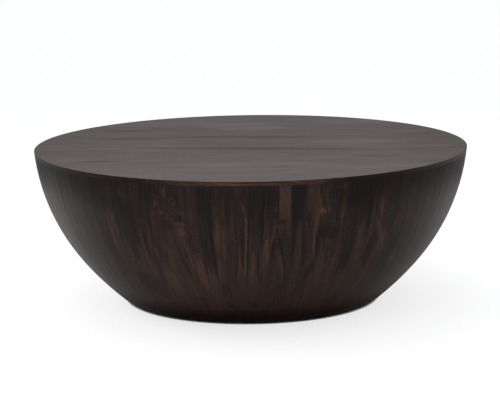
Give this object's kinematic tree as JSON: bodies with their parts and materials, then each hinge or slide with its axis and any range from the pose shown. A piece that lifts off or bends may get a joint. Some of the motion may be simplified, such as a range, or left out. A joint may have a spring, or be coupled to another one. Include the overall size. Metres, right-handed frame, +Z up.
{
  "type": "drum coffee table",
  "caption": "Low round drum table: a stave-built wooden bowl that narrows to a flat base, closed by a flat round top of edge-glued boards.",
  "frame": {"origin": "on the floor, under the middle of the round top", "axes": "+Z up; -Y towards the front of the table; the boards of the top run along X"},
  "size_m": [1.143, 1.143, 0.406],
  "materials": {
    "stave_wood": "dark brown stain under satin lacquer",
    "top_wood": "dark brown stain under satin lacquer",
    "plywood": "bare plywood",
    "bare_wood": "bare sawn wood",
    "felt": "pressed felt",
    "screw_steel": "zinc plated"
  },
  "bodies": {
    "root": {"base_board": "plywood", "floor_glides": "felt", "rim_ring_quarter_1": "plywood", "rim_ring_quarter_2": "plywood", "rim_ring_quarter_3": "plywood", "rim_ring_quarter_4": "plywood", "ring_screws": "screw_steel", "stave_01": "stave_wood", "stave_02": "stave_wood", "stave_03": "stave_wood", "stave_04": "stave_wood", "stave_05": "stave_wood", "stave_06": "stave_wood", "stave_07": "stave_wood", "stave_08": "stave_wood", "stave_09": "stave_wood", "stave_10": "stave_wood", "stave_11": "stave_wood", "stave_12": "stave_wood", "stave_13": "stave_wood", "stave_14": "stave_wood", "stave_15": "stave_wood", "stave_16": "stave_wood", "stave_17": "stave_wood", "stave_18": "stave_wood", "stave_19": "stave_wood", "stave_20": "stave_wood", "stave_21": "stave_wood", "stave_22": "stave_wood", "stave_23": "stave_wood", "stave_24": "stave_wood", "stave_25": "stave_wood", "stave_26": "stave_wood", "top_batten_1": "bare_wood", "top_batten_2": "bare_wood", "top_board_01": "top_wood", "top_board_02": "top_wood", "top_board_03": "top_wood", "top_board_04": "top_wood", "top_board_05": "top_wood", "top_board_06": "top_wood", "top_board_07": "top_wood", "top_board_08": "top_wood", "top_board_09": "top_wood", "top_board_10": "top_wood", "top_board_11": "top_wood"}
  },
  "joints": []
}
